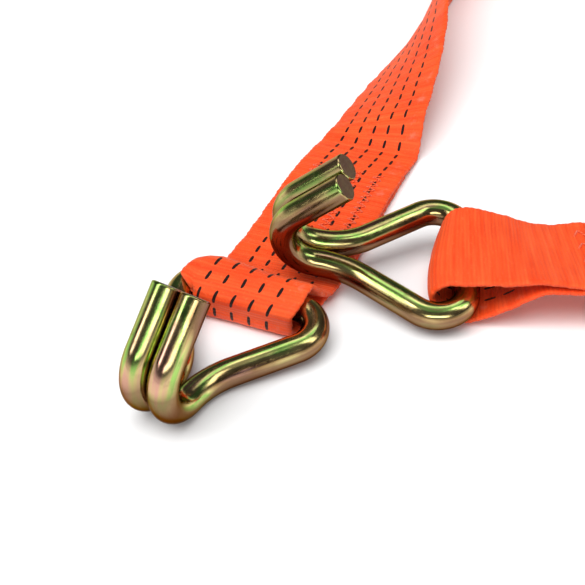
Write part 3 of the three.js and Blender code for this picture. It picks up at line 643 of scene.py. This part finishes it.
def webbing(name, grid, material, thickness, traced=1, detailed=True, start=0.0):
    """A closed band of cloth about a middle surface: rows run along it, columns across it.
    traced says which face carries the tracer rows: 1 for the outer face, -1 for the inner.
    Detailed cloth has ribs and waves. Returns the piece, its surface and the way along it."""
    along = start + chord(grid.mean(axis=1))
    rib = np.zeros((len(grid), 1))
    if detailed:
        grid = lively(grid, along)
        rib = np.cos(2 * np.pi * along / (WEBBING["rib"] * MM))[:, None] * WEBBING["rib_depth"]
    rows, columns = grid.shape[:2]
    lift = cloth_normals(grid) * ((thickness / 2 + rib) * PLUMP * MM)[..., None]
    count = rows * columns
    first = np.arange(rows - 1) * columns
    last = first + columns - 1
    j = np.arange(columns - 1)
    end = (rows - 1) * columns + j
    faces = np.concatenate([
        grid_faces(rows, columns),
        grid_faces(rows, columns, count, flip=True),
        np.stack([first, first + columns, first + columns + count, first + count], -1),
        np.stack([last + columns, last, last + count, last + columns + count], -1),
        np.stack([j + 1, j, j + count, j + 1 + count], -1),
        np.stack([end, end + 1, end + 1 + count, end + count], -1),
    ])
    # The face without tracer rows has its measure shifted by a metre, out of their reach.
    shifts = (0.0, 1.0) if traced > 0 else (1.0, 0.0)
    across = (SPREAD + 1) * WEBBING["half"] * MM
    uv = [np.stack(np.broadcast_arrays(across + shift, along[:, None]), -1) for shift in shifts]
    vertices = np.concatenate([grid + lift, grid - lift]).reshape(-1, 3)
    return add_object(name, vertices, faces, material, np.concatenate(uv).reshape(-1, 2)), grid, along


def row_at(grid, bar, back):
    """The row of a strap's upper layer that lies a distance back from its bar."""
    distance = np.linalg.norm((grid.mean(axis=1) - bar)[:, :2], axis=1)
    crest = int(np.argmin(distance[: len(distance) * 3 // 4]))
    upper_layer = distance[crest:crest + int(270 / STEP)]
    return crest + int(np.argmin(np.abs(upper_layer - back * MM)))


def roll_place():
    """The rolled strap's middle on the floor, and its radius."""
    low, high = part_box("long_strap_roll")
    return (np.array(low) + np.array(high)) / 2 * [1, 1, 0], (high.x - low.x) / 2


def long_strap_eye(line):
    """The lower lap, the loop round the bar and the upper lap, as one middle surface."""
    back = heading(LONG_HEADING)
    control = np.array(LONG_EYE, float)
    knots = chord(control[:, :2])
    fine = resample(spline(knots, control, np.linspace(0, knots[-1], int(knots[-1] / STEP))), STEP)
    d, z, reach_left, reach_right = fine.T
    middle = front_bar * [1, 1, 0] + back * (d * MM)[:, None] + UP * (z * MM)[:, None]
    width = 2 * WEBBING["half"]
    from_right = (1 - SPREAD) * WEBBING["half"]
    squeeze = (reach_left + reach_right - width + LONG_BUNCHED) / LONG_BUNCHED
    kept = np.minimum(from_right, width - LONG_BUNCHED)
    offset = reach_right[:, None] - kept - squeeze[:, None] * (from_right - kept)
    grid = middle[:, None, :] + right_of(back) * (offset * MM)[..., None]
    near_rows = np.flatnonzero(np.abs(d) < HELD_OFF["long"])
    near = slice(near_rows[0], near_rows[-1] + 1)
    grid[near] = held_off(grid[near], line)
    grid[..., 2] = np.maximum(grid[..., 2], (WEBBING["thickness"] / 2 + CLEAR) * MM)
    return grid


def long_strap_run(start):
    """From the laps' end the strap lies flat, then turns on edge and meets the roll."""
    back = heading(LONG_HEADING)
    right = right_of(back)
    centre, roll_radius = roll_place()
    touch = centre - right * (roll_radius + (WEBBING["thickness"] / 2 + ROLL["clear"]) * MM)
    length = (touch - start) @ back
    d = np.linspace(0, length, int(length / (STEP * MM)) + 1)[1:]
    from_bar = ((start - front_bar) @ back + d) / MM
    places, degrees = np.array(LONG_TWIST, float).T
    turn = np.radians(spline(places, degrees, np.clip(from_bar, places[0], places[-1]))[:, 0])
    turn = np.clip(turn, 0, math.pi / 2)
    aside = (touch - start) @ right * smooth(d, 0, length)
    height = (LONG_LIES + WEBBING["half"] * np.sin(turn)) * MM
    middle = start * [1, 1, 0] + back * d[:, None] + right * aside[:, None] + UP * height[:, None]
    across = right * np.cos(turn)[:, None] + UP * np.sin(turn)[:, None]
    grid = middle[:, None, :] + across[:, None, :] * (SPREAD * WEBBING["half"] * MM)[:, None]
    return grid, touch, height[-1]


def long_strap_roll(touch, height):
    """The rest of the strap, wound on edge; the tie lifts its lower edges a little."""
    centre, _ = roll_place()
    start = touch - centre
    radius = np.linalg.norm(start)
    pitch = (WEBBING["thickness"] + ROLL["between_turns"]) * MM
    turns = (radius - ROLL["core"] * MM) / pitch
    t = np.linspace(0, turns, int(turns * ROLL["steps_a_turn"]) + 1)[1:]
    angle = math.atan2(start[1], start[0]) - 2 * math.pi * t
    spiral = (radius - pitch * t)[:, None] * np.stack([np.cos(angle), np.sin(angle), 0 * t], -1)
    off_tie = np.abs(np.angle(np.exp(1j * (angle - math.radians(TIE["towards"])))))
    away = off_tie * np.linalg.norm(spiral, axis=1) / MM
    lift = TIE["lifts"] * np.exp(-((away / TIE["lift_spread"]) ** 2)) * (off_tie < math.pi / 2)
    uneven = ROLL["uneven"] * np.clip(np.sin(3.1 * angle) * np.sin(0.9 * t), 0, None)
    edge_share = (1 - SPREAD) / 2
    z = height + (SPREAD * WEBBING["half"] + lift[:, None] * edge_share + uneven[:, None]) * MM
    x, y, _ = (centre + spiral).T[:, :, None]
    return np.stack(np.broadcast_arrays(x, y, z), -1)


def long_strap(line):
    """Both pieces of the long strap. Returns the laid part's surface."""
    eye = long_strap_eye(line)
    run, touch, height = long_strap_run(eye[-1].mean(axis=0))
    blend = smooth(np.arange(len(run)), 0, 60)[:, None, None]
    run = (eye[-1] + (run - run[0])) * (1 - blend) + run * blend
    laid = np.concatenate([eye, run])
    strap, laid, along = webbing("long_strap_webbing", laid, WEBBING_CLOTH, WEBBING["thickness"])
    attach(strap, "long_strap")
    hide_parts("long_strap_eye", "long_strap_run")
    wound = np.concatenate([laid[-2:-1], long_strap_roll(touch, height)])
    rolled, _, roll_along = webbing("long_strap_rolled_webbing", wound, WEBBING_CLOTH, WEBBING["thickness"],
                                    detailed=False, start=along[-1])
    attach(rolled, "long_strap")
    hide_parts("long_strap_roll")
    return laid


def bolt_loop(length):
    """(back, height) of the band from the upper layer's end, round the bolt, to the butt joint."""
    radius, z = BOLT_LOOP["radius"], bolt[2] / MM
    tail, high = length - BOLT_LOOP["tail"], z + BOLT_LOOP["rise"]
    loop = [(tail, high + 1.2), (tail + 12, high + 2.9), (length - 10, z + radius - 1.6)]
    half_turn = np.radians([0, 45, 90, 135, 180])
    loop += [(length + radius * math.sin(a), z + radius * math.cos(a)) for a in half_turn]
    loop += [(length - 11, z - radius + 2.2), (tail + 11, high - 4.2), (tail - 1, high - 1.3),
             (tail - 20, high - 1.5), BOLT_LOOP["butt_end"]]
    return loop


def short_strap_grid(line):
    """One band: lower layer, round the hook's bar, upper layer, round the bolt, and back."""
    to_bolt = (bolt - rear_bar) * [1, 1, 0]
    back = unit(to_bolt)
    axes = turned(**REAR_TURN) * [[1], [1], [0]]
    loop = bolt_loop(np.linalg.norm(to_bolt) / MM)
    control = np.array([[*n, *m, *f] for n, m, f in SHORT_EYE + [(p, p, p) for p in loop]], float)
    knots = chord(control[:, 2:4])
    fine = resample(spline(knots, control, np.linspace(0, knots[-1], int(knots[-1] / STEP))), STEP)
    near_middle_far = fine.reshape(len(fine), 3, 2)
    share = (SPREAD + 1) / 2
    weights = np.stack([(1 - share) * (1 - 2 * share), 4 * share * (1 - share), share * (2 * share - 1)], -1)
    d, height = np.moveaxis(np.einsum("wk,skc->swc", weights, near_middle_far[:, ::-1, :]), -1, 0)
    middle = fine[:, 2]
    at_bar = (1 - smooth(middle, *SHORT_TURN["sideways"]))[:, None]
    sideways = unit(right_of(back) * (1 - at_bar) - axes[:, 0] * at_bar)
    ahead = (1 - smooth(middle, *SHORT_TURN["backward"]))[:, None]
    way = unit(back * (1 - ahead) - axes[:, 1] * ahead)
    reach = WEBBING["half"] - SHORT_TURN["narrow_by"] * (1 - smooth(middle, *SHORT_TURN["narrow"]))
    grid = rear_bar * [1, 1, 0] + way[:, None, :] * (d * MM)[..., None]
    grid = grid + sideways[:, None, :] * (SPREAD * reach[:, None] * MM)[..., None]
    grid[..., 2] = height * MM
    near_rows = np.flatnonzero(middle < HELD_OFF["short"])
    near = slice(near_rows[0], near_rows[-1] + 1)
    grid[near] = held_off(grid[near], line)
    return grid


def short_strap(line):
    """The short strap's one piece. Returns its surface."""
    grid = short_strap_grid(line)
    band, grid, along = webbing("short_strap_webbing", grid, WEBBING_CLOTH, WEBBING["thickness"], traced=-1)
    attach(band, "short_strap")
    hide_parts("short_strap_hook_eye", "short_strap_run", "short_strap_bolt_eye")
    return grid


def on_cloth(grid, row, column):
    """Points on a strap's surface at places between its rows and columns, and their normals."""
    i = np.minimum(row.astype(int), len(grid) - 2)
    j = np.minimum(column.astype(int), grid.shape[1] - 2)
    fi, fj = (row - i)[:, None], (column - j)[:, None]
    points = (grid[i, j] * (1 - fi) * (1 - fj) + grid[i + 1, j] * fi * (1 - fj)
              + grid[i, j + 1] * (1 - fi) * fj + grid[i + 1, j + 1] * fi * fj)
    return points, cloth_normals(grid)[i, j]


def seam(strap, grid, bar, reach):
    """Rows of zig-zag stitches on a strap's upper layer, as far back from its bar as reach says."""
    along = chord(grid.mean(axis=1))
    start, end = sorted(along[row_at(grid, bar, back)] for back in reach)
    leg = SEAM["pitch"] / 2 * MM
    legs = int((end - start) / leg)
    t = np.linspace(0, legs, legs * 6 + 1)
    row = np.interp(start + t * leg, along, np.arange(len(along)))
    arch = SEAM["arch"] * np.abs(np.sin(math.pi * t)) ** 0.5
    lift = WEBBING["thickness"] / 2 + SEAM["above"] + arch
    around = np.linspace(0, 2 * math.pi, 6, endpoint=False)
    vertices, faces, uv = [], [], []
    for middle in SEAM["rows"]:
        zigzag = middle + SEAM["swing"] * (2 * np.abs(t % 2 - 1) - 1)
        column = np.interp(zigzag / WEBBING["half"], SPREAD, np.arange(len(SPREAD)))
        points, normals = on_cloth(grid, row, column)
        points = points + normals * (lift * MM)[:, None]
        tangents = unit(np.gradient(points, axis=0))
        ups = unit(normals - tangents * (normals * tangents).sum(1, keepdims=True))
        besides = np.cross(tangents, ups)
        base = len(vertices)
        for k, point in enumerate(points):
            for a in around:
                spoke = math.cos(a) * ups[k] + math.sin(a) * besides[k]
                vertices.append(point + SEAM["thread"] * MM * spoke)
                uv.append((a / (2 * math.pi), t[k] * leg))
        sides = len(around)
        faces += grid_faces(len(points), sides, base, wrap=True).tolist()
        faces.append([base + k for k in range(sides)][::-1])
        faces.append([base + (len(points) - 1) * sides + k for k in range(sides)])
    stitches = add_object(f"{strap}_seam", vertices, faces, THREAD, uv)
    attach(stitches, strap)
    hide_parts(f"{strap}_stitching")


def roll_tie():
    """A flat elastic band through the roll's core and round one side of it."""
    centre, radius = roll_place()
    low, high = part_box("roll_tie")
    inside, outside = ROLL["core"] - 4.0, radius / MM + 3.2
    bottom, top = low.z / MM + TIE["thickness"] / 2 + 0.05, high.z / MM + 0.2
    # It starts and ends inside the core, where its ends meet.
    corners = np.array([
        (inside, 0, 26), (inside, 0, top), (outside, 0, top),
        (outside, 0, bottom), (inside, 0, bottom), (inside, 0, 25),
    ], float)
    line = bent_line(corners, [3, 3, 2.4, 2.4], 0.8)
    out = heading(90 - TIE["towards"])
    side = -right_of(out)
    middle = centre + out * (line[:, :1] * MM) + UP * (line[:, 2:] * MM)
    grid = middle[:, None, :] + side * (SPREAD[:, None] * TIE["half"] * MM)
    band, _, _ = webbing("roll_tie_band", grid, ELASTIC, TIE["thickness"], detailed=False)
    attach(band, "long_strap")
    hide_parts("roll_tie")


# ---- Ratchet buckle ---------------------------------------------------------------------

def pawl_spring(node, spec, side, body):
    """A compression spring with closed end turns between a pawl and its seat."""
    towards = math.radians(spec["towards"])
    way = np.array([math.cos(towards), 0, math.sin(towards)])
    up = np.array([-way[2], 0, way[0]])
    across = np.array([0, 1.0, 0])
    wire, turns = SPRING["wire"], SPRING["turns"]
    t = np.linspace(0, 1, turns * 22 + 1)
    angle = 2 * math.pi * turns * t
    length = spec["to"] - spec["from"] - 2 * wire
    closed = 1 / turns
    open_share = np.clip((t - closed) / (1 - 2 * closed), 0, 1)
    closed_share = (np.minimum(t, closed) + np.clip(t - 1 + closed, 0, None)) / closed
    travel = spec["from"] + wire + 2 * wire * closed_share + (length - 4 * wire) * open_share
    ring = up * np.cos(angle)[:, None] + across * np.sin(angle)[:, None]
    aside = across * side * spec["y"] + up * spec["aside"]
    line = spool + (aside + way * travel[:, None] + ring * SPRING["radius"]) * MM
    normals = carried_normals(line, way)
    coil = tube(node + "_coil", line, normals, wire * MM, 8, SPRING_STEEL, chamfer=0.05 * MM)
    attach(coil, body)
    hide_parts(node)
    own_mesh(coil)


def grip_sleeve():
    """The moulded grip: four finger waves, fine rings and rounded ends, turned about Y."""
    low, high = (np.array(corner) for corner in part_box("grip_sleeve"))
    centre, half = (low + high) / 2, (high[1] - low[1]) / 2
    t = np.linspace(-1, 1, 181)
    waves = (high[2] - low[2]) / 2 - GRIP["wave"] * MM * (1 - np.cos(4 * math.pi * (t + 1))) / 2
    rings = GRIP["ring"] * MM * np.cos(2 * math.pi * t * half / (GRIP["ring_pitch"] * MM))
    past_shoulder = np.clip((np.abs(t) - 1 + GRIP["shoulder"]) / GRIP["shoulder"], 0, 1)
    shoulder = np.sqrt(1 - past_shoulder**2)
    radii = waves + rings * shoulder - GRIP["shoulder_drop"] * MM * (1 - shoulder)
    bore = GRIP["bore"] * MM
    profile = [(bore, -half), *zip(radii, t * half), (bore, half)]
    sides = 56
    vertices = [centre + np.array([r * math.cos(a), y, r * math.sin(a)])
                for r, y in profile for a in np.linspace(0, 2 * math.pi, sides, endpoint=False)]
    faces = grid_faces(len(profile), sides, wrap=True, flip=True).tolist()
    last = (len(profile) - 1) * sides
    faces += [[j, (j + 1) % sides, last + (j + 1) % sides, last + j] for j in range(sides)]
    sleeve = add_object("grip_sleeve_moulding", vertices, faces, GRIP_PLASTIC)
    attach(sleeve, "handle")
    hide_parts("grip_sleeve")


def finish_cad_nodes():
    """The pressed and turned steel pieces keep their CAD shape, with softened edges."""
    looks = {"yellow_zinc": YELLOW_SHEET, "bright_zinc": BRIGHT_ZINC, "spring_steel": SPRING_STEEL}
    slots = {part["node"]: part["material_slot"] for part in frame["record"]["subparts"]}
    for name, node in frame["nodes"].items():
        if node.hide_render or slots[name] not in looks:
            continue
        mesh = node.data
        mesh.materials.clear()
        mesh.materials.append(looks[slots[name]])
        if "custom_normal" in mesh.attributes:
            mesh.attributes.remove(mesh.attributes["custom_normal"])
        mesh.polygons.foreach_set("use_smooth", [True] * len(mesh.polygons))
        weld = node.modifiers.new("weld", "WELD")
        weld.merge_threshold = SOFT_EDGE["weld"] * MM
        bevel = node.modifiers.new("softened_edges", "BEVEL")
        bevel.width = SOFT_EDGE["width"] * MM
        bevel.segments = SOFT_EDGE["segments"]
        bevel.limit_method = "ANGLE"
        bevel.angle_limit = math.radians(SOFT_EDGE["angle"])
        node.modifiers.new("flat_faces", "WEIGHTED_NORMAL")


# ---- Stage ------------------------------------------------------------------------------

def add_camera():
    """The camera looks level with +Y and down. Returns the place that it aims at."""
    elevation = math.radians(CAMERA["elevation"])
    aim = front_bar + np.array(CAMERA["aim_from_bar"]) * MM
    eye = aim + CAMERA["distance"] * MM * np.array([0, -math.cos(elevation), math.sin(elevation)])
    data = bpy.data.cameras.new("camera")
    data.lens = CAMERA["lens"]
    data.sensor_width = 36
    data.clip_start = 0.01
    camera = bpy.data.objects.new("camera", data)
    camera.location = eye
    camera.rotation_euler = (math.pi / 2 - elevation, 0, 0)
    bpy.context.scene.collection.objects.link(camera)
    bpy.context.scene.camera = camera
    return aim


def add_floor():
    """One round face, so wide that its rim is never seen."""
    turns = np.linspace(0, 2 * math.pi, 64, endpoint=False)
    rim = FLOOR_RADIUS * np.stack([np.cos(turns), np.sin(turns), 0 * turns], -1)
    floor = add_object("studio_floor", rim, [range(len(rim))], plain_floor())


def add_softbox(name, aim, azimuth, elevation, size, power):
    """A rectangular soft light that faces the object. Azimuth 0 stands on the -Y side."""
    a, e = math.radians(azimuth), math.radians(elevation)
    way = np.array([math.sin(a) * math.cos(e), -math.cos(a) * math.cos(e), math.sin(e)])
    data = bpy.data.lights.new(name, "AREA")
    data.shape = "RECTANGLE"
    data.size, data.size_y = size
    data.energy = power
    light = bpy.data.objects.new(name, data)
    light.location = aim + way * SOFTBOX_DISTANCE
    light.rotation_euler = (math.pi / 2 - e, 0, a)
    bpy.context.scene.collection.objects.link(light)


def add_world():
    """A pale studio: bright low walls, a dark band above them, and a soft ceiling."""
    world = bpy.data.worlds.new("studio")
    world.use_nodes = True
    tree = world.node_tree
    place = tree.nodes.new("ShaderNodeTexCoord")
    split = tree.nodes.new("ShaderNodeSeparateXYZ")
    ramp = tree.nodes.new("ShaderNodeValToRGB")
    levels = [(0.0, 0.84), (0.10, 0.84), (0.26, 0.05), (0.90, 0.05), (0.95, 0.3), (1.0, 0.3)]
    fill_ramp(ramp, [(height, (level, level, level)) for height, level in levels])
    tree.links.new(place.outputs["Generated"], split.inputs[0])
    tree.links.new(split.outputs["Z"], ramp.inputs[0])
    tree.links.new(ramp.outputs[0], tree.nodes["Background"].inputs["Color"])
    tree.nodes["Background"].inputs["Strength"].default_value = 1.0
    bpy.context.scene.world = world


def add_room_light():
    """An even wash over the whole floor, which the steel doesn't mirror."""
    data = bpy.data.lights.new("room_light", "SUN")
    data.energy = 3.0
    data.angle = math.radians(50)
    light = bpy.data.objects.new("room_light", data)
    light.rotation_euler = (math.radians(18), math.radians(-14), 0)
    light.visible_glossy = False
    bpy.context.scene.collection.objects.link(light)


# ---- The build --------------------------------------------------------------------------

aim_point = add_camera()
add_floor()
add_world()
for light_name, (azimuth, elevation, size, power) in SOFTBOXES.items():
    add_softbox(light_name, aim_point, azimuth, elevation, size, power)
add_room_light()
bpy.context.scene.view_settings.view_transform = "Standard"

front_line = claw_hook("front_hook", front_bar, FRONT_TURN)
rear_line = claw_hook("rear_hook", rear_bar, REAR_TURN)
roll_tie()
long_surface = long_strap(front_line)
short_surface = short_strap(rear_line)
seam("long_strap", long_surface, front_bar, SEAM["long"])
seam("short_strap", short_surface, rear_bar, SEAM["short"])
for hand, side in (("left", 1), ("right", -1)):
    pawl_spring(f"lock_pawl_spring_{hand}", LOCK_SPRING, side, "ratchet_frame")
    pawl_spring(f"drive_pawl_spring_{hand}", DRIVE_SPRING, side, "handle")
grip_sleeve()
finish_cad_nodes()
